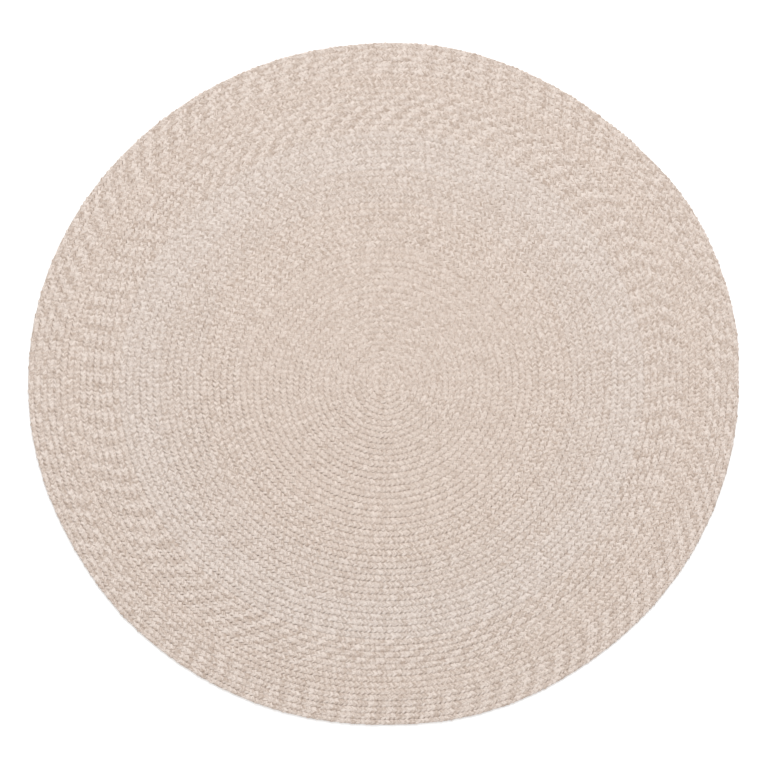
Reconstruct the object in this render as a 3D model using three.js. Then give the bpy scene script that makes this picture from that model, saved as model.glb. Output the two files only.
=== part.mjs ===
// Round braided rug: one long tubular braid, pressed flat, coiled into a
// spiral and sewn edge to edge. Units are millimetres, +Z is up. The origin
// is the centre of the coil on its flat underside.
//
// The top is a spiral of crowns and seams. A place on it is given by its
// turn, counted along the coil from the centre, and by how far across the row
// it lies, from 0 at the row's inner seam to 1 at its outer seam.

import * as THREE from 'three';

// Heights above the underside.
const CROWN_HEIGHT = 8.5;
const SEAM_HEIGHT = 5.9;
const SEAM_FADE_TURNS = 0.8; // the seam deepens from nothing over these first turns

// The coil. Its rows are narrowest at the tight centre and widest in the middle.
const COIL = [
  { turn: 0, radius: 0 },
  { turn: 15, radius: 257 },
  { turn: 42, radius: 762 },
  { turn: 55.5, radius: 1008 },
];
const TAIL_ANGLE = 46; // degrees from +X, where the end of the braid is tucked in
const TAIL_TURNS = 0.05; // the end narrows to nothing over this part of a turn

// The rim, sewn by hand and not quite round: its radius at each angle in degrees.
const RIM = [
  { angle: 0, radius: 996.5 },
  { angle: 10, radius: 1003.5 },
  { angle: 30, radius: 1006 },
  { angle: 50, radius: 992 },
  { angle: 60, radius: 996.5 },
  { angle: 80, radius: 1004.5 },
  { angle: 100, radius: 999.5 },
  { angle: 130, radius: 997.5 },
  { angle: 165, radius: 1003 },
  { angle: 185, radius: 1002 },
  { angle: 210, radius: 997 },
  { angle: 225, radius: 1002 },
  { angle: 250, radius: 1003 },
  { angle: 270, radius: 999 },
  { angle: 285, radius: 1002.5 },
  { angle: 310, radius: 996.5 },
  { angle: 340, radius: 996 },
  { angle: 360, radius: 996.5 },
];
const RIM_FADE_POWER = 2; // how fast the unevenness of the rim fades towards the centre

// The rounded outer side of the last row, from the top down.
const SHOULDER = { inset: 3.2, height: 7.2 };
const SIDE = { inset: 0, height: 4.2 };
const FOOT = { inset: 2.6, height: 0 };

// Facets in each turn: few at the centre, where the coil is small.
const FACETS = [
  { fromTurn: -1, perTurn: 8 },
  { fromTurn: 1, perTurn: 20 },
  { fromTurn: 6, perTurn: 40 },
];

const BRAID_COLOUR = 0xd9c9bd;
const FULL_CIRCLE = 360;
const HALF_ROW = 0.5;

const { clamp, degToRad, euclideanModulo, lerp } = THREE.MathUtils;

// Value of `output` where `input` is `at`, straight between the table's rows.
function lookUp(table, input, output, at) {
  const next = Math.max(1, table.findIndex((row) => row[input] >= at));
  const low = table[next - 1];
  const high = table[next];
  return lerp(low[output], high[output], (at - low[input]) / (high[input] - low[input]));
}

const coilRadius = (turn) => lookUp(COIL, 'turn', 'radius', turn);
const rimRadius = (angle) => lookUp(RIM, 'angle', 'radius', euclideanModulo(angle, FULL_CIRCLE));

// The last row starts one turn before the coil's end, and so does its inner seam.
const TAIL_TURN = COIL.at(-1).turn - 1;
const LAST_ROW_TURN = TAIL_TURN - 1;
const angleAt = (turn) => TAIL_ANGLE + FULL_CIRCLE * (turn - TAIL_TURN);

// Width of the row at this turn, as a share of a full row.
const rowShare = (turn) => clamp((TAIL_TURN - turn) / TAIL_TURNS, 0, 1);

// Turn of the rim on the ray that leaves the centre through this turn.
function rimTurn(turn) {
  const lastRow = LAST_ROW_TURN + euclideanModulo(turn - LAST_ROW_TURN, 1);
  return lastRow + rowShare(lastRow);
}

// Radius of a place in the coil. The rows near the rim are stretched or
// squeezed so that the last of them ends on the rim.
function radiusAt(turn, across) {
  const plain = coilRadius(turn + across);
  const plainRim = coilRadius(rimTurn(turn));
  const stretch = rimRadius(angleAt(turn)) / plainRim - 1;
  return plain * (1 + stretch * (plain / plainRim) ** RIM_FADE_POWER);
}

// Turns from one end of a line along the coil to the other, as FACETS says.
function turnsBetween(from, to) {
  const turns = [];
  FACETS.forEach(({ fromTurn, perTurn }, row) => {
    const until = Math.min(to, FACETS[row + 1]?.fromTurn ?? to);
    const first = Math.ceil(Math.max(from, fromTurn) * perTurn);
    for (let step = first; step < until * perTurn; step += 1) turns.push(step / perTurn);
  });
  return [...turns, to];
}

function rugGeometry() {
  const positions = [];
  const triangles = [];

  const addVertex = (turn, radius, height) => {
    const angle = degToRad(angleAt(turn));
    positions.push(radius * Math.cos(angle), radius * Math.sin(angle), height);
    return positions.length / 3 - 1;
  };
  const centre = addVertex(0, 0, CROWN_HEIGHT);
  const underCentre = addVertex(0, 0, 0);
  const tailTip = addVertex(TAIL_TURN, rimRadius(TAIL_ANGLE) - SHOULDER.inset, SEAM_HEIGHT);

  // A line along the coil is a list of vertices, each with its turn. It starts
  // and ends on vertices that other lines share.
  const lineAlongCoil = (from, to, first, last, vertexAt) => {
    const inner = turnsBetween(from, to).slice(1, -1).map((turn) => ({ turn, id: vertexAt(turn) }));
    return [{ turn: from, id: first }, ...inner, { turn: to, id: last }];
  };

  // Fills the strip between two lines side by side, the inner line first.
  const fillBetween = (inner, outer) => {
    let i = 0;
    let j = 0;
    while (i < inner.length - 1 || j < outer.length - 1) {
      const stepInner = (inner[i + 1]?.turn ?? Infinity) < (outer[j + 1]?.turn ?? Infinity);
      const corners = [inner[i].id, outer[j].id, stepInner ? inner[i + 1].id : outer[j + 1].id];
      if (new Set(corners).size === corners.length) triangles.push(...corners);
      if (stepInner) i += 1;
      else j += 1;
    }
  };

  const seam = lineAlongCoil(0, TAIL_TURN, centre, tailTip, (turn) => {
    const depth = (CROWN_HEIGHT - SEAM_HEIGHT) * Math.min(1, turn / SEAM_FADE_TURNS);
    return addVertex(turn, radiusAt(turn, 0), CROWN_HEIGHT - depth);
  });
  const crown = lineAlongCoil(-HALF_ROW, TAIL_TURN, centre, tailTip, (turn) => {
    const height = lerp(SEAM_HEIGHT, CROWN_HEIGHT, rowShare(turn));
    return addVertex(turn, radiusAt(turn, HALF_ROW * rowShare(turn)), height);
  });
  fillBetween(seam, crown);

  // The outer side of every row but the last is the seam one turn further on.
  const lastRow = crown.findIndex(({ turn }) => turn === LAST_ROW_TURN);
  fillBetween(crown.slice(0, lastRow + 1), seam.map(({ turn, id }) => ({ turn: turn - 1, id })));

  // The outer side of the last row is the rim, which closes on itself at the tail.
  const rimLine = (tail, { inset, height }) => lineAlongCoil(LAST_ROW_TURN, TAIL_TURN, tail, tail, (turn) => {
    const outerHeight = Math.min(height, lerp(SEAM_HEIGHT, SHOULDER.height, rowShare(turn)));
    return addVertex(turn, radiusAt(turn, rowShare(turn)) - inset, outerHeight);
  });
  const rimVertex = ({ inset, height }) => addVertex(TAIL_TURN, rimRadius(TAIL_ANGLE) - inset, height);
  const shoulder = rimLine(tailTip, SHOULDER);
  const side = rimLine(rimVertex(SIDE), SIDE);
  const foot = rimLine(rimVertex(FOOT), FOOT);
  fillBetween(crown.slice(lastRow), shoulder);
  fillBetween(shoulder, side);
  fillBetween(side, foot);
  fillBetween(foot, [{ turn: TAIL_TURN, id: underCentre }]);

  const geometry = new THREE.BufferGeometry();
  geometry.setAttribute('position', new THREE.Float32BufferAttribute(positions, 3));
  geometry.setIndex(triangles);
  geometry.computeVertexNormals();
  return geometry;
}

function braidMaterial() {
  return new THREE.MeshStandardMaterial({ color: BRAID_COLOUR, roughness: 0.95, metalness: 0 });
}

const braid = new THREE.Mesh(rugGeometry(), braidMaterial());
braid.name = 'coiled_braid';

const rug = new THREE.Group();
rug.add(braid);

export default rug;
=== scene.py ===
"""Round braided rug, dressed for rendering.

One long tubular braid is pressed flat and coiled from the centre outwards. Every length
of it is a closed tube whose surface carries the slanted strands, and its yarns are
coloured by the strand and by how far across the braid a point lies.
"""

import bpy
import numpy as np
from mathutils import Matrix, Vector


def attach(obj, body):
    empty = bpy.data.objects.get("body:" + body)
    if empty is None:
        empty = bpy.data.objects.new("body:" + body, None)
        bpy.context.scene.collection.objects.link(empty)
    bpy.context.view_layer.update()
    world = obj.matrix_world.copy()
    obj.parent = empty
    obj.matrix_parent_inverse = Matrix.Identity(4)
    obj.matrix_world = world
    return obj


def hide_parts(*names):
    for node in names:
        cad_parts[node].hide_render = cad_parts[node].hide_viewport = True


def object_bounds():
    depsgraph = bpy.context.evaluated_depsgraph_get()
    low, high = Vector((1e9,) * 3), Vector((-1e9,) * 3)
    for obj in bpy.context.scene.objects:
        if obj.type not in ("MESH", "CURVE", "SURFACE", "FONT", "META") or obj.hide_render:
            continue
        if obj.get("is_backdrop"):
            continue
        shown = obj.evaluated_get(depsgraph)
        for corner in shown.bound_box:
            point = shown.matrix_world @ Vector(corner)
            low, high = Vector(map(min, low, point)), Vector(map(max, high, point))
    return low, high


bl_info = {
    "name": "Round Braided Rug",
    "version": (1, 0, 0),
    "blender": (4, 5, 0),
    "location": "3D View > Sidebar > Rug",
    "description": "Coils a flat tubular braid into a round rug, and sets a plain stage for it",
    "category": "Object",
}

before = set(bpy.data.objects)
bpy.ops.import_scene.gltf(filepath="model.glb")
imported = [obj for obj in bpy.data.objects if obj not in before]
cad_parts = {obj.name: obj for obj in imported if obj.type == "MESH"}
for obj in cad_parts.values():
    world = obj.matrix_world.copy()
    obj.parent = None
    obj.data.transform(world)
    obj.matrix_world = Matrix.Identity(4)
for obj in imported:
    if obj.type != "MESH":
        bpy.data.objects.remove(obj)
CAD_LOW, CAD_HIGH = (np.array(corner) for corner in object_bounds())
CAD_NODE = "coiled_braid"

# ---------------------------------------------------------------------------
# The coil: the same figures as the solid, in metres.

COIL = {"turn": [0.0, 15.0, 42.0, 55.5], "radius": [0.0, 0.257, 0.762, 1.008]}
RIM = {
    "angle": [0, 10, 30, 50, 60, 80, 100, 130, 165, 185, 210, 225, 250, 270, 285, 310, 340, 360],
    "radius": [
        0.9965, 1.0035, 1.006, 0.992, 0.9965, 1.0045, 0.9995, 0.9975, 1.003,
        1.002, 0.997, 1.002, 1.003, 0.999, 1.0025, 0.9965, 0.996, 0.9965,
    ],
}  # fmt: skip
RIM_FADE_POWER = 2
TAIL_ANGLE = 46.0
TAIL_TURNS = 0.05
TAIL_TURN = COIL["turn"][-1] - 1
LAST_ROW_TURN = TAIL_TURN - 1
START_TURN = -0.9
TURN_STEP = 0.002
SIZE_TOLERANCE = 0.003


def coil_radius(turn):
    """Radius of the plain spiral: straight between the rows of COIL."""
    return np.interp(turn, COIL["turn"], COIL["radius"])


def rim_radius(angle):
    """Radius of the rim: between two angles of RIM it eases from one to the other as 3s^2 - 2s^3."""
    angles, radii = np.array(RIM["angle"], float), np.array(RIM["radius"])
    angle = np.mod(angle, 360.0)
    low = np.clip(np.searchsorted(angles, angle, side="right") - 1, 0, len(angles) - 2)
    share = (angle - angles[low]) / (angles[low + 1] - angles[low])
    share = share * share * (3 - 2 * share)
    return radii[low] * (1 - share) + radii[low + 1] * share


def angle_at(turn):
    """Degrees round the rug, counter-clockwise from +X. The coil ends at TAIL_ANGLE."""
    return TAIL_ANGLE + 360.0 * (turn - TAIL_TURN)


def row_share(turn):
    """Width of the row as a share of a full row: 1, falling to 0 over the last TAIL_TURNS."""
    return np.clip((TAIL_TURN - turn) / TAIL_TURNS, 0.0, 1.0)


def radius_at(turn, across):
    """Radius of a place in the coil: the plain spiral, stretched by how far the rim lies from it.

    The stretch fades towards the centre as the square of the radius."""
    last_row = LAST_ROW_TURN + np.mod(turn - LAST_ROW_TURN, 1.0)
    plain_rim = coil_radius(last_row + row_share(last_row))
    plain = coil_radius(turn + across)
    stretch = rim_radius(angle_at(turn)) / plain_rim - 1.0
    return plain * (1.0 + stretch * (plain / plain_rim) ** RIM_FADE_POWER)


def check_size():
    """The rim and the solid must agree in size."""
    angles = np.arange(0.0, 360.0)
    rim = rim_radius(angles) * np.array([np.cos(np.radians(angles)), np.sin(np.radians(angles))])
    misfit = np.concatenate([rim.min(axis=1) - CAD_LOW[:2], rim.max(axis=1) - CAD_HIGH[:2]])
    if np.abs(misfit).max() > SIZE_TOLERANCE:
        raise RuntimeError(f"the rim and the solid differ by {misfit.round(4)} m")


# ---------------------------------------------------------------------------
# Sizes and colours that a user would change


class RugBraidSettings(bpy.types.PropertyGroup):
    stitch: bpy.props.FloatProperty(
        name="Stitch", description="Length of one stitch along the braid",
        default=0.01391, min=0.005, max=0.05, unit="LENGTH", precision=4,
    )  # fmt: skip
    slant: bpy.props.FloatProperty(
        name="Slant", description="How many stitches a strand runs on across one column of strokes",
        default=0.5, min=0.0, max=1.0,
    )  # fmt: skip
    relief: bpy.props.FloatProperty(
        name="Relief", description="Depth of the groove between two strands",
        default=0.0021, min=0.0, max=0.004, unit="LENGTH", precision=4,
    )  # fmt: skip
    side_height: bpy.props.FloatProperty(
        name="Side Height", description="Height of the widest line of the flattened tube",
        default=0.0038, min=0.001, max=0.02, unit="LENGTH", precision=4,
    )  # fmt: skip
    lean: bpy.props.FloatProperty(
        name="Lean", description="How much higher the outer edge of a row lies than its middle",
        default=0.00195, min=-0.003, max=0.003, unit="LENGTH", precision=5,
    )  # fmt: skip


class RugYarnSettings(bpy.types.PropertyGroup):
    cream: bpy.props.FloatVectorProperty(
        name="Cream Yarn", description="Lighter fibres of the melange, linear colour",
        subtype="COLOR", size=3, default=(0.805, 0.700, 0.629), min=0.0, max=1.0,
    )  # fmt: skip
    beige: bpy.props.FloatVectorProperty(
        name="Beige Yarn", description="Darker fibres of the melange, linear colour",
        subtype="COLOR", size=3, default=(0.503, 0.393, 0.322), min=0.0, max=1.0,
    )  # fmt: skip
    roughness: bpy.props.FloatProperty(
        name="Roughness", description="Roughness of the yarn", default=0.92, min=0.0, max=1.0,
    )  # fmt: skip
    sheen: bpy.props.FloatProperty(
        name="Sheen", description="Soft shine of the loose fibres", default=0.1, min=0.0, max=1.0,
    )  # fmt: skip


class RugStageSettings(bpy.types.PropertyGroup):
    floor: bpy.props.FloatVectorProperty(
        name="Floor", description="Colour of the floor",
        subtype="COLOR", size=3, default=(0.9, 0.9, 0.9), min=0.0, max=1.0,
    )  # fmt: skip
    key_power: bpy.props.FloatProperty(
        name="Key Light", description="Power of the soft light above the far edge",
        default=450, min=0.0, unit="POWER",
    )  # fmt: skip
    fill: bpy.props.FloatProperty(
        name="Fill", description="Strength of the even light from all round",
        default=0.899, min=0.0, max=2.0,
    )  # fmt: skip
    elevation: bpy.props.FloatProperty(
        name="Elevation", description="Angle of the camera above the floor",
        default=1.2828, min=0.0, max=1.5708, subtype="ANGLE",
    )  # fmt: skip
    view_width: bpy.props.FloatProperty(
        name="View Width", description="Width of floor that the camera takes in",
        default=2.159, min=0.1, unit="LENGTH",
    )  # fmt: skip


# ---------------------------------------------------------------------------
# The lengths of braid, from the centre to the rim, each with the yarns it is braided from.
# A strand is as light as its tone: 0 is all beige fibres and 1 is all cream. Its two yarns differ, so the
# tone swings once, twice and three times over four strands, by as much as the repeats say. Flecks are how
# much one short stretch of a ply differs from the next.

PLAIN = {"tone": 0.53, "warmth": 0.0, "flecks": 0.5, "repeats": (0.07, 0.05, 0.06)}
SOFT = {"tone": 0.52, "warmth": -0.003, "flecks": 0.7, "repeats": (0.07, 0.06, 0.17)}
COOL = {"tone": 0.525, "warmth": -0.011, "flecks": 0.7, "repeats": (0.07, 0.06, 0.17)}
PALE = {"tone": 0.59, "warmth": -0.018, "flecks": 0.7, "repeats": (0.09, 0.04, 0.17)}
TWO_TONE = {"tone": 0.53, "warmth": -0.008, "flecks": 0.8, "repeats": (0.22, 0.0, 0.1)}
LENGTHS = [
    {"name": "braid_1_centre", "until": 22.5, "yarns": PLAIN},
    {"name": "braid_2_plain", "until": 28.8, "yarns": SOFT},
    {"name": "braid_3_plain", "until": 34.4, "yarns": COOL},
    {"name": "braid_4_pale", "until": 40.3, "yarns": PALE},
    {"name": "braid_5_two_tone", "until": 46.2, "yarns": TWO_TONE},
    {"name": "braid_6_plain", "until": 49.5, "yarns": SOFT},
    {"name": "braid_7_two_tone", "until": 52.5, "yarns": TWO_TONE},
    {"name": "braid_8_rim", "until": TAIL_TURN, "yarns": TWO_TONE},
]

# ---------------------------------------------------------------------------
# The shape of the braid

STRANDS = 4  # strands that slant each way, so the colours repeat after as many stitches
YARNS_IN_STRAND = 2  # each with its own tone
LINES = np.array([0.0, 0.2, 0.5, 0.8])  # lines across a stitch, from the groove before its strand
JOIN = 0.34  # how far across the strokes of the middle column meet those of the edge columns
TOP_ACROSS = np.array([-1.0, -0.87, -0.64, -JOIN, 0.0, JOIN, 0.64, 0.87, 1.0])
UNDER_ACROSS = np.array([0.62, 0.0, -0.62])
COLUMN_ENDS = [-1.0, -JOIN, JOIN, 1.0]
RUN_ON = [1.0, 0.0, 1.0, 0.0]  # share of the slant that the strands have run on by at the column ends
# The share of the three columns in each place of TOP_ACROSS: where two meet, each has half.
COLUMN_SHARES = np.array([[1, 0, 0]] * 3 + [[0.5, 0.5, 0], [0, 1, 0], [0, 0.5, 0.5]] + [[0, 0, 1]] * 3)
SECTION_POWER = 1.9  # how square the flattened tube is
NORMAL_REACH = 0.95
LEAN_SHARE = 0.25  # how much of the lean the crest of a row rises by, so that it is taken off the crown
STRAND_ROUNDNESS = 0.98
JOIN_DIP = 0.15  # how far the strands dive where two columns meet, as a share of the relief
JOIN_SWAY = 0.06  # how far across they sway there
EDGE_DIP = 1.7  # how much deeper the grooves are at the edges
FULL_HALF_WIDTH = 0.006  # a narrower braid, at its ends, is thinner too
END_THICKNESS = 0.4
LEAST_RADIUS = 0.0003
LEAST_HEIGHT = 0.0008
RIM_EASE = 0.03  # turns over which the last row's outer edge eases back to the rim
RIM_GROOVE = 0.0015  # how far the grooves reach in from the rim
FLOOR_CLEARANCE = 0.0003
CENTRE_REACH = 0.06  # the slant grows to its full size over this radius
STITCH_DRIFT = 0.03
STITCH_WAVES = [(1.13, 0.4), (2.39, 2.0), (4.07, 5.1), (0.71, 3.3)]  # length in metres, phase
STITCH_JITTER = 0.13  # how far a groove may lie along the braid from its place, in stitches
STRAND_JITTER = 0.0006  # how much higher or lower a crest may be
EDGE_JITTER = 0.0015  # how much further or less far a crest may reach into the next row
EDGE_SWELL = 0.0039  # how far the crests of the strands reach into the next row
WAVER = 0.0011
# Radians for each metre of x, radians for each metre of y, phase.
WAVER_WAVES = [(7.0, 4.0, 0.3), (-5.0, 9.0, 1.9), (13.0, -6.0, 4.1), (3.0, 17.0, 2.2)]
WAVER_FADE_POWER = 6
JITTER_STITCHES = 997  # after these the unevenness starts again
RANDOM_SEED = 11
BAKE_MAP = "OFBake"
BAKE_MARGIN = 0.04
GIRTH_IN_STITCHES = 3.0
TOP_GIRTH = 0.58  # how much of the way round the upper face takes


def braid_course(stitch):
    """Turns along the braid, with the stitches and the metres made by then.

    The length of the braid's middle line is summed turn by turn, and divided by the stitch, which grows
    and shrinks a little along the braid as a sum of slow sine waves."""
    turns = np.arange(START_TURN, TAIL_TURN + TURN_STEP / 2, TURN_STEP)
    middle = (radius_at(turns, 0.0) + radius_at(turns, row_share(turns))) / 2
    steps = np.pi * (middle[1:] + middle[:-1]) * np.diff(turns)
    metres = np.concatenate([[0.0], np.cumsum(steps)])
    waves = [np.sin(2.0 * np.pi * metres[1:] / wave + phase) for wave, phase in STITCH_WAVES]
    steps_in_stitches = steps / (stitch * (1.0 + STITCH_DRIFT * np.mean(waves, axis=0)))
    return turns, np.concatenate([[0.0], np.cumsum(steps_in_stitches)]), metres


def section(across):
    """The upper half of a superellipse: height (1 - |x|^n)^(1/n) over x = across, and its outward normal.

    At the very edge the normal of a place a little way in is given, so that grooves run down there too."""
    height = (1.0 - np.abs(across) ** SECTION_POWER) ** (1.0 / SECTION_POWER)
    reach = np.minimum(np.abs(across), NORMAL_REACH)
    sideways = np.sign(across) * reach ** (SECTION_POWER - 1) / 2.0
    upwards = (1.0 - reach**SECTION_POWER) ** (1.0 - 1.0 / SECTION_POWER)
    size = np.hypot(sideways, upwards)
    return height, sideways / size, upwards / size


def waver(x, y):
    """A slow unevenness of the rows: the mean of a few sine waves in the plane of the rug, from -1 to 1."""
    return sum(np.sin(a * x + b * y + c) for a, b, c in WAVER_WAVES) / len(WAVER_WAVES)


def lay_on_coil(along, across, lateral, height, settings, course):
    """Points of the braid, laid on the coil.

    along is in stitches and each point runs on by slant * RUN_ON, to and fro from column to column. The
    turn follows from the course, the radius is the row's middle plus across half widths plus lateral. The
    last row has no other to swell into, so its outer edge keeps to the rim."""
    turns, stitches, _ = course
    middle_turn = np.interp(along, stitches, turns)
    spread = np.clip(radius_at(middle_turn, row_share(middle_turn) / 2) / CENTRE_REACH, 0.0, 1.0)
    run_on = settings.slant * np.interp(across, COLUMN_ENDS, RUN_ON)
    turn = np.interp(along + spread * run_on, stitches, turns)
    inner = radius_at(turn, 0.0)
    outer = radius_at(turn, row_share(turn))
    half = (outer - inner) / 2
    share = np.clip(half / FULL_HALF_WIDTH, 0.0, 1.0)
    in_last_row = np.clip((turn - LAST_ROW_TURN) / RIM_EASE, 0.0, 1.0)
    at_rim = np.maximum(lateral - EDGE_SWELL * across, -RIM_GROOVE)
    lateral = np.where(across > 0.0, lateral + (at_rim - lateral) * in_last_row, lateral)
    radius = np.maximum((inner + outer) / 2 + across * half + lateral * share, LEAST_RADIUS)
    angle = np.radians(angle_at(turn))
    x, y = radius * np.cos(angle), radius * np.sin(angle)
    rim_fade = 1.0 - np.clip(radius / COIL["radius"][-1], 0.0, 1.0) ** WAVER_FADE_POWER
    moved = radius + WAVER * waver(x, y) * rim_fade * np.clip(radius / CENTRE_REACH, 0.0, 1.0)
    thickness = END_THICKNESS + (1.0 - END_THICKNESS) * share
    level = settings.side_height + (height - settings.side_height) * thickness
    return np.stack([moved * np.cos(angle), moved * np.sin(angle), level], axis=-1)


def top_points(first, last, settings, course, jitter):
    """The upper face of the stitches from first to last: lines along the strands by places across.

    The face is the section, sunk along its normal by relief * (1 - sqrt(1 - roundness * q^2)), where q is
    0 on the crest of a strand and 1 in the groove. Where columns meet, the strands dive and sway."""
    along = (np.arange(first, last)[:, None] + LINES - 0.5).ravel()
    along = np.append(along, last - 0.5)[:, None]
    crest = np.rint(along)
    from_crest = 2.0 * (along - crest)
    groove = 1.0 - np.sqrt(1.0 - STRAND_ROUNDNESS * np.minimum(np.abs(from_crest), 1.0) ** 2)
    at_join = np.abs(TOP_ACROSS) == JOIN
    across = TOP_ACROSS + JOIN_SWAY * np.sin(np.pi * from_crest) * at_join
    rise, sideways, upwards = section(TOP_ACROSS)
    sink = settings.relief * (groove * (1.0 + EDGE_DIP * TOP_ACROSS**2) + JOIN_DIP * at_join)
    lifts, shifts = jitter[:, :3] @ COLUMN_SHARES.T, jitter[:, 3:] @ COLUMN_SHARES.T
    lift = lifts[np.mod(crest.astype(int), len(jitter))[:, 0]] * (1.0 - np.abs(from_crest)) * (1 - at_join)
    sink = sink - STRAND_JITTER * lift
    lateral = TOP_ACROSS * (EDGE_SWELL + EDGE_JITTER * lift) - sink * sideways
    crown = CAD_HIGH[2] - abs(settings.lean) * LEAN_SHARE - settings.side_height
    height = settings.side_height + rise * crown + settings.lean * TOP_ACROSS - sink * upwards
    height = np.maximum(height, LEAST_HEIGHT)
    groove_before = np.floor(along + 0.5).astype(int)[:, 0]
    share = along + 0.5 - groove_before[:, None]
    shift = shifts[np.mod(groove_before, len(jitter))] * (1 - share)
    shift = shift + shifts[np.mod(groove_before + 1, len(jitter))] * share
    laid = along + STITCH_JITTER * shift
    along, laid, across, lateral, height = np.broadcast_arrays(along, laid, across, lateral, height)
    return along, across, lay_on_coil(laid, across, lateral, height, settings, course)


def under_points(first, last, settings, course):
    """The lower face, pressed flat by the floor: one line for each stitch.

    It rises from the floor clearance by side height * (1 - section)."""
    along = (np.arange(first, last + 1) - 0.5)[:, None]
    across = UNDER_ACROSS[None, :]
    rise, _, _ = section(across)
    height = FLOOR_CLEARANCE + settings.side_height * (1.0 - rise)
    along, across, height = np.broadcast_arrays(along, across, height)
    return along, across, lay_on_coil(along, across, 0.0 * height, height, settings, course)


def tube_faces(stitch_count):
    """Faces of the closed tube, how far round the tube their corners lie, and the points of both ends.

    The upper face is a grid of quads, the lower face has a quad for each stitch, and a seven-cornered face
    on each side joins the two. The way round starts at the inner edge, where it is 0 for the upper face
    and 1 for the side below it."""
    per_stitch, wide, under = len(LINES), len(TOP_ACROSS), len(UNDER_ACROSS)
    lines = stitch_count * per_stitch + 1
    top = np.arange(lines * wide).reshape(lines, wide)
    low = lines * wide + np.arange((stitch_count + 1) * under).reshape(-1, under)

    grid = [top[:-1, :-1], top[:-1, 1:], top[1:, 1:], top[1:, :-1]]
    below = [low[:-1, :-1], low[:-1, 1:], low[1:, 1:], low[1:, :-1]]
    outer_edge = top[:-1, -1].reshape(stitch_count, per_stitch)
    inner_edge = top[:-1, 0].reshape(stitch_count, per_stitch)
    ends = top[per_stitch::per_stitch]
    outer = np.column_stack([outer_edge[:, 0], low[:-1, 0], low[1:, 0], ends[:, -1], outer_edge[:, :0:-1]])
    inner = np.column_stack([low[:-1, -1], inner_edge, ends[:, 0], low[1:, -1]])
    ring = np.concatenate([top[[0, -1]], low[[0, -1]]], axis=1)
    first_cap, last_cap = ring[:1, ::-1], ring[1:]

    top_round = np.linspace(0.0, TOP_GIRTH, wide)
    low_round = np.linspace(TOP_GIRTH, 1.0, under + 2)[1:-1]
    girth = np.concatenate([np.tile(top_round, lines), np.tile(low_round, stitch_count + 1)])
    upper, lower = (np.stack(corners, axis=-1).reshape(-1, 4) for corners in (grid, below))
    faces = [upper, lower, outer, inner, first_cap, last_cap]
    rounds = [girth[face] for face in faces]
    rounds[3] = np.where(girth[inner] == 0.0, 1.0, girth[inner])
    return faces, rounds, ring


def bake_layout(faces, rounds, along, first, last):
    """Map of the surface for baking: the tube cut into rows of equal length, laid one above the other.

    U is the way along the row, and V is the row plus the way round the tube."""
    row_count = max(1, round(np.sqrt((last - first) / GIRTH_IN_STITCHES)))
    per_row = -(-(last - first) // row_count)
    corners = []
    for face, around in zip(faces, rounds):
        way = along[face] - (first - 0.5)
        row = np.floor((way.mean(axis=1, keepdims=True)) / per_row).clip(0, row_count - 1)
        u = (way - row * per_row) / per_row
        v = (row + BAKE_MARGIN + around * (1.0 - 2.0 * BAKE_MARGIN)) / row_count
        corners.append(np.stack([u, v], axis=-1).reshape(-1, 2))
    return np.concatenate(corners).clip(0.0, 1.0)


def make_mesh(name, points, faces):
    """A smooth mesh from an array of points and arrays of faces."""
    mesh = bpy.data.meshes.new(name)
    mesh.vertices.add(len(points))
    mesh.vertices.foreach_set("co", points.astype(np.float32).ravel())
    sizes = np.concatenate([np.full(len(face), face.shape[1]) for face in faces])
    corners = np.concatenate([face.ravel() for face in faces])
    mesh.loops.add(len(corners))
    mesh.loops.foreach_set("vertex_index", corners.astype(np.int32))
    mesh.polygons.add(len(sizes))
    mesh.polygons.foreach_set("loop_start", (np.cumsum(sizes) - sizes).astype(np.int32))
    mesh.polygons.foreach_set("use_smooth", np.ones(len(sizes), bool))
    mesh.update(calc_edges=True)
    if mesh.validate():
        raise RuntimeError(f"{name} has faces that are not sound")
    return mesh


def sharpen_ends(mesh, ring):
    """Marks the edges of both end caps as sharp, so that the caps don't shade the braid beside them."""
    is_end = np.zeros(len(mesh.vertices), bool)
    is_end[ring.ravel()] = True
    ends = np.zeros(len(mesh.edges) * 2, np.int32)
    mesh.edges.foreach_get("vertices", ends)
    sharp = is_end[ends.reshape(-1, 2)].all(axis=1)
    mesh.edges.foreach_set("use_edge_sharp", sharp)


def add_point_values(mesh, name, values):
    """Keeps one number for each point of the mesh, under a name that its material reads."""
    mesh.attributes.new(name, "FLOAT", "POINT").data.foreach_set("value", values.astype(np.float32).ravel())


def make_length(name, first, last, settings, course, jitter):
    """One length of the braid, from one stitch to another, as a closed tube laid on the coil."""
    top_along, top_across, top = top_points(first, last, settings, course, jitter)
    under_along, under_across, under = under_points(first, last, settings, course)
    points = np.concatenate([top.reshape(-1, 3), under.reshape(-1, 3)])
    along = np.concatenate([top_along.ravel(), under_along.ravel()])
    across = np.concatenate([top_across.ravel(), under_across.ravel()])
    faces, rounds, ring = tube_faces(last - first)
    mesh = make_mesh(name, points, faces)
    sharpen_ends(mesh, ring)
    add_point_values(mesh, "along", along)
    add_point_values(mesh, "across", across)
    layout = bake_layout(faces, rounds, along, first, last)
    mesh.uv_layers.new(name=BAKE_MAP).uv.foreach_set("vector", layout.astype(np.float32).ravel())
    piece = bpy.data.objects.new(name, mesh)
    bpy.context.scene.collection.objects.link(piece)
    return piece


# ---------------------------------------------------------------------------
# The yarn

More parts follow.
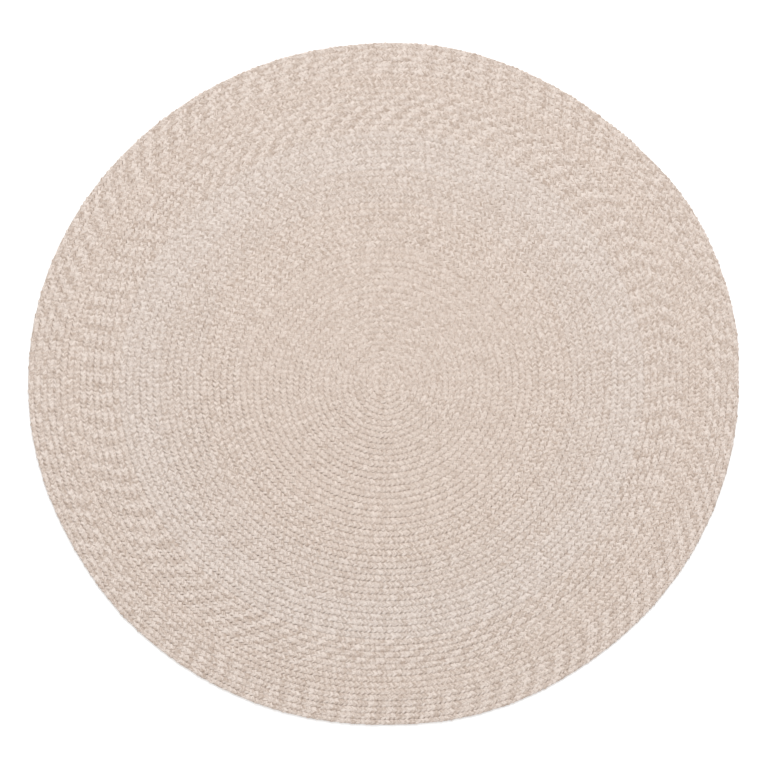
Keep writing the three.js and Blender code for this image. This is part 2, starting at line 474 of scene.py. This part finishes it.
STRAND_DRIFT = 0.15  # how much one strand differs from the next
PLIES = 4  # side by side in a strand
PLY_DRIFT = 0.3  # how much one ply differs from the next
FLECKS = 2.6  # along half the width of the braid
FLECK_SHIFT = 7.0  # how far the flecks of one ply may lie from those of the next
MELANGE = 0.35  # how far the fibres of one yarn range from cream to beige
STREAKS = 1.3  # across a ply
STREAK_LENGTHS = 1.7  # along half the width of the braid
STREAK_SHIFT = 7.0  # between columns
SPECKLE_SCALE = 700.0
SPECKLE = 0.35  # how far single fibres range from cream to beige
SHEEN_ROUGHNESS = 0.6
SPECULAR = 0.25
BUMP_DISTANCE = 0.0006
BUMP_STRENGTH = 0.6
FIBRE_BUMP = 1.5
PLY_BUMP = 0.5


def add_node(tree, kind, inputs=(), **options):
    """A new node: options are its settings, and inputs are (socket, value or the socket that feeds it)."""
    node = tree.nodes.new(kind)
    for option, value in options.items():
        setattr(node, option, value)
    for socket, value in inputs:
        if isinstance(value, bpy.types.NodeSocket):
            tree.links.new(value, node.inputs[socket])
        else:
            node.inputs[socket].default_value = value
    return node


def calculate(tree, operation, first, second=0.0, third=0.0):
    """The socket of a new sum: MULTIPLY_ADD is first * second + third."""
    inputs = [(0, first), (1, second), (2, third)]
    return add_node(tree, "ShaderNodeMath", inputs, operation=operation).outputs[0]


def own_value(tree, number, column):
    """A value from -0.5 to 0.5 that belongs to one numbered strand or ply of one column."""
    key = add_node(tree, "ShaderNodeCombineXYZ", [("X", number), ("Y", column)]).outputs[0]
    own = add_node(tree, "ShaderNodeTexWhiteNoise", [("Vector", key)], noise_dimensions="2D")
    return calculate(tree, "SUBTRACT", own.outputs["Value"], 0.5)


def fibre_noise(tree, place, scale, **values):
    """Soft noise from 0 to 1, at a place and a scale."""
    inputs = [("Vector", place), ("Scale", scale), *values.items()]
    return add_node(tree, "ShaderNodeTexNoise", inputs).outputs["Fac"]


def strand_tone(tree, along, across, repeats, flecks):
    """The tone of a strand's own yarns, and the column they lie in.

    The tone is 0.5, plus a wave for each of the repeats, plus what belongs to the strand, its ply and its
    fleck. The outer column is one stitch ahead."""
    stitches = calculate(tree, "ADD", along, 0.5)
    number = calculate(tree, "FLOOR", stitches)
    outer = calculate(tree, "GREATER_THAN", across, JOIN)
    column = calculate(tree, "ADD", calculate(tree, "GREATER_THAN", across, -JOIN), outer)
    ahead = calculate(tree, "ADD", stitches, outer)
    yarn = calculate(tree, "FLOOR", calculate(tree, "MULTIPLY", ahead, YARNS_IN_STRAND))
    tone = calculate(tree, "MULTIPLY_ADD", own_value(tree, number, column), STRAND_DRIFT, 0.5)
    for times, swing in enumerate(repeats, 1):
        step = 2.0 * np.pi * times / (STRANDS * YARNS_IN_STRAND)
        wave = calculate(tree, "SINE", calculate(tree, "MULTIPLY_ADD", yarn, step, step / 2.0))
        tone = calculate(tree, "MULTIPLY_ADD", wave, swing, tone)
    ply = calculate(tree, "FLOOR", calculate(tree, "MULTIPLY", stitches, PLIES))
    own_ply = own_value(tree, ply, column)
    tone = calculate(tree, "MULTIPLY_ADD", own_ply, PLY_DRIFT, tone)
    shift = calculate(tree, "MULTIPLY", own_ply, FLECK_SHIFT)
    fleck_at = calculate(tree, "MULTIPLY_ADD", across, FLECKS, shift)
    fleck = own_value(tree, ply, calculate(tree, "FLOOR", fleck_at))
    return calculate(tree, "MULTIPLY_ADD", fleck, flecks, tone), column


def warmed(colour, warmth):
    """The colour with more red and less blue, each by the same share."""
    red, green, blue = colour
    return (red * (1.0 + warmth), green, blue * (1.0 - warmth), 1.0)


def yarn_material(name, yarns, colours):
    """Melange yarn: each strand has its own tone, its plies are streaked, and fine fibres speckle it."""
    material = bpy.data.materials.new(name)
    material.use_nodes = True
    tree = material.node_tree
    tree.nodes.clear()
    along = add_node(tree, "ShaderNodeAttribute", attribute_name="along").outputs["Fac"]
    across = add_node(tree, "ShaderNodeAttribute", attribute_name="across").outputs["Fac"]
    tone, column = strand_tone(tree, along, across, yarns["repeats"], yarns["flecks"])

    streak_places = [
        ("X", calculate(tree, "MULTIPLY", along, PLIES * STREAKS)),
        ("Y", calculate(tree, "MULTIPLY", across, STREAK_LENGTHS)),
        ("Z", calculate(tree, "MULTIPLY", column, STREAK_SHIFT)),
    ]
    streak_at = add_node(tree, "ShaderNodeCombineXYZ", streak_places).outputs[0]
    streak = fibre_noise(tree, streak_at, 1.0, Detail=2.0, Roughness=0.6)
    place = add_node(tree, "ShaderNodeTexCoord").outputs["Object"]
    speckle = fibre_noise(tree, place, SPECKLE_SCALE, Detail=1.0)

    tone = calculate(tree, "ADD", tone, yarns["tone"] - 0.5)
    tone = calculate(tree, "MULTIPLY_ADD", calculate(tree, "SUBTRACT", streak, 0.5), MELANGE * 2.0, tone)
    tone = calculate(tree, "MULTIPLY_ADD", calculate(tree, "SUBTRACT", speckle, 0.5), SPECKLE * 2.0, tone)
    beige, cream = (warmed(fibres, yarns["warmth"]) for fibres in (colours.beige, colours.cream))
    mix = [("Factor", tone), ("A", beige), ("B", cream)]
    colour = add_node(tree, "ShaderNodeMix", mix, data_type="RGBA", clamp_factor=True).outputs["Result"]

    ply = calculate(tree, "SINE", calculate(tree, "MULTIPLY", along, 2.0 * np.pi * PLIES))
    fuzz = calculate(tree, "MULTIPLY_ADD", speckle, FIBRE_BUMP, calculate(tree, "MULTIPLY", ply, PLY_BUMP))
    bump_inputs = [("Height", fuzz), ("Strength", BUMP_STRENGTH), ("Distance", BUMP_DISTANCE)]
    bump = add_node(tree, "ShaderNodeBump", bump_inputs).outputs[0]
    finish = [
        ("Base Color", colour),
        ("Roughness", colours.roughness),
        ("Sheen Weight", colours.sheen),
        ("Sheen Roughness", SHEEN_ROUGHNESS),
        ("Specular IOR Level", SPECULAR),
        ("Normal", bump),
    ]
    shader = add_node(tree, "ShaderNodeBsdfPrincipled", finish)
    output = add_node(tree, "ShaderNodeOutputMaterial", [("Surface", shader.outputs[0])])
    output.is_active_output = True
    return material


# ---------------------------------------------------------------------------
# The stage

FLOOR_HALF = 6.0  # half of the floor's side
FLOOR_DROP = 0.0002
FLOOR_GLOW = 0.2  # how much whiter the camera sees the floor than its colour renders
KEY_PLACE = (1.0, 7.0, 9.0)
KEY_SIZE = 4.0
CAMERA_DISTANCE = 6.0
CAMERA_ASIDE = -0.0014


def lay_floor(settings):
    """A level floor just under the rug. The camera sees it a little whiter, with the rug's shadow on it."""
    corners = [(-1, -1), (1, -1), (1, 1), (-1, 1)]
    mesh = bpy.data.meshes.new("floor")
    points = [(x * FLOOR_HALF, y * FLOOR_HALF, -FLOOR_DROP) for x, y in corners]
    mesh.from_pydata(points, [], [(0, 1, 2, 3)])
    floor = bpy.data.objects.new("floor", mesh)
    bpy.context.scene.collection.objects.link(floor)
    material = bpy.data.materials.new("floor")
    material.use_nodes = True
    tree = material.node_tree
    tree.nodes.clear()
    diffuse = add_node(tree, "ShaderNodeBsdfDiffuse", [("Color", (*settings.floor, 1.0))])
    seen = add_node(tree, "ShaderNodeLightPath").outputs["Is Camera Ray"]
    strength = calculate(tree, "MULTIPLY", seen, FLOOR_GLOW)
    glow = add_node(tree, "ShaderNodeEmission", [("Strength", strength)])
    both = add_node(tree, "ShaderNodeAddShader", [(0, diffuse.outputs[0]), (1, glow.outputs[0])])
    add_node(tree, "ShaderNodeOutputMaterial", [("Surface", both.outputs[0])])
    mesh.materials.append(material)
    floor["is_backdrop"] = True


def light_world(scene, settings):
    """Even light from all round. The camera sees the world as plain white."""
    world = bpy.data.worlds.new("studio")
    world.use_nodes = True
    tree = world.node_tree
    tree.nodes.clear()
    seen = add_node(tree, "ShaderNodeLightPath").outputs["Is Camera Ray"]
    strength = calculate(tree, "MULTIPLY_ADD", seen, 1.0 - settings.fill, settings.fill)
    light = [("Color", (1.0, 1.0, 1.0, 1.0)), ("Strength", strength)]
    background = add_node(tree, "ShaderNodeBackground", light)
    add_node(tree, "ShaderNodeOutputWorld", [("Surface", background.outputs[0])])
    scene.world = world


def turned_to(place, target):
    """The rotation that points an object's own -Z from its place to the target."""
    return (Vector(target) - Vector(place)).to_track_quat("-Z", "Y").to_euler()


def add_key_light(settings):
    """A large soft lamp above the far edge of the rug."""
    lamp = bpy.data.lights.new("key", "AREA")
    lamp.energy = settings.key_power
    lamp.size = KEY_SIZE
    key = bpy.data.objects.new("key", lamp)
    key.location = KEY_PLACE
    key.rotation_euler = turned_to(KEY_PLACE, (0.0, 0.0, 0.0))
    bpy.context.scene.collection.objects.link(key)


def add_camera(scene, settings):
    """A flat view without perspective, from the front and steeply down."""
    lens = bpy.data.cameras.new("camera")
    lens.type = "ORTHO"
    lens.ortho_scale = settings.view_width
    target = Vector((CAMERA_ASIDE, 0.0, float(CAD_HIGH[2])))
    away = Vector((0.0, -np.cos(settings.elevation), np.sin(settings.elevation)))
    camera = bpy.data.objects.new("camera", lens)
    camera.location = target + away * CAMERA_DISTANCE
    camera.rotation_euler = turned_to(camera.location, target)
    scene.collection.objects.link(camera)
    scene.camera = camera


# ---------------------------------------------------------------------------
# Operators


class RUG_OT_braid(bpy.types.Operator):
    """Coil the braid, one length after another, and dress it in its yarns"""

    bl_idname = "rug.braid"
    bl_label = "Coil Braid"

    def execute(self, context):
        settings = context.scene.rug_braid
        colours = context.scene.rug_yarn
        check_size()
        course = turns, stitches, metres = braid_course(settings.stitch)
        jitter = np.random.default_rng(RANDOM_SEED).uniform(-1.0, 1.0, (JITTER_STITCHES, 6))
        first = 0
        for length in LENGTHS:
            last = int(np.interp(length["until"], turns, stitches))
            piece = make_length(length["name"], first, last, settings, course, jitter)
            piece.data.materials.append(yarn_material(length["name"], length["yarns"], colours))
            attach(piece, "root")
            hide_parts(CAD_NODE)
            first = last
        return {"FINISHED"}


class RUG_OT_stage(bpy.types.Operator):
    """Lay a plain pale floor, and set the soft lights and the camera"""

    bl_idname = "rug.stage"
    bl_label = "Set Stage"

    def execute(self, context):
        settings = context.scene.rug_stage
        lay_floor(settings)
        light_world(context.scene, settings)
        add_key_light(settings)
        add_camera(context.scene, settings)
        context.scene.view_settings.view_transform = "Standard"
        return {"FINISHED"}


class RUG_PT_panel(bpy.types.Panel):
    """Round rug"""

    bl_idname = "RUG_PT_panel"
    bl_label = "Round Braided Rug"
    bl_space_type = "VIEW_3D"
    bl_region_type = "UI"
    bl_category = "Rug"

    def draw(self, context):
        for group, operator in (("rug_braid", None), ("rug_yarn", "rug.braid"), ("rug_stage", "rug.stage")):
            settings = getattr(context.scene, group)
            for setting in type(settings).__annotations__:
                self.layout.prop(settings, setting)
            if operator:
                self.layout.operator(operator)


CLASSES = (RugBraidSettings, RugYarnSettings, RugStageSettings, RUG_OT_braid, RUG_OT_stage, RUG_PT_panel)


def register():
    for cls in CLASSES:
        bpy.utils.register_class(cls)
    bpy.types.Scene.rug_braid = bpy.props.PointerProperty(type=RugBraidSettings)
    bpy.types.Scene.rug_yarn = bpy.props.PointerProperty(type=RugYarnSettings)
    bpy.types.Scene.rug_stage = bpy.props.PointerProperty(type=RugStageSettings)


def unregister():
    del bpy.types.Scene.rug_braid
    del bpy.types.Scene.rug_yarn
    del bpy.types.Scene.rug_stage
    for cls in reversed(CLASSES):
        bpy.utils.unregister_class(cls)


def main():
    register()
    bpy.ops.rug.braid()
    bpy.ops.rug.stage()


if __name__ == "__main__":
    main()
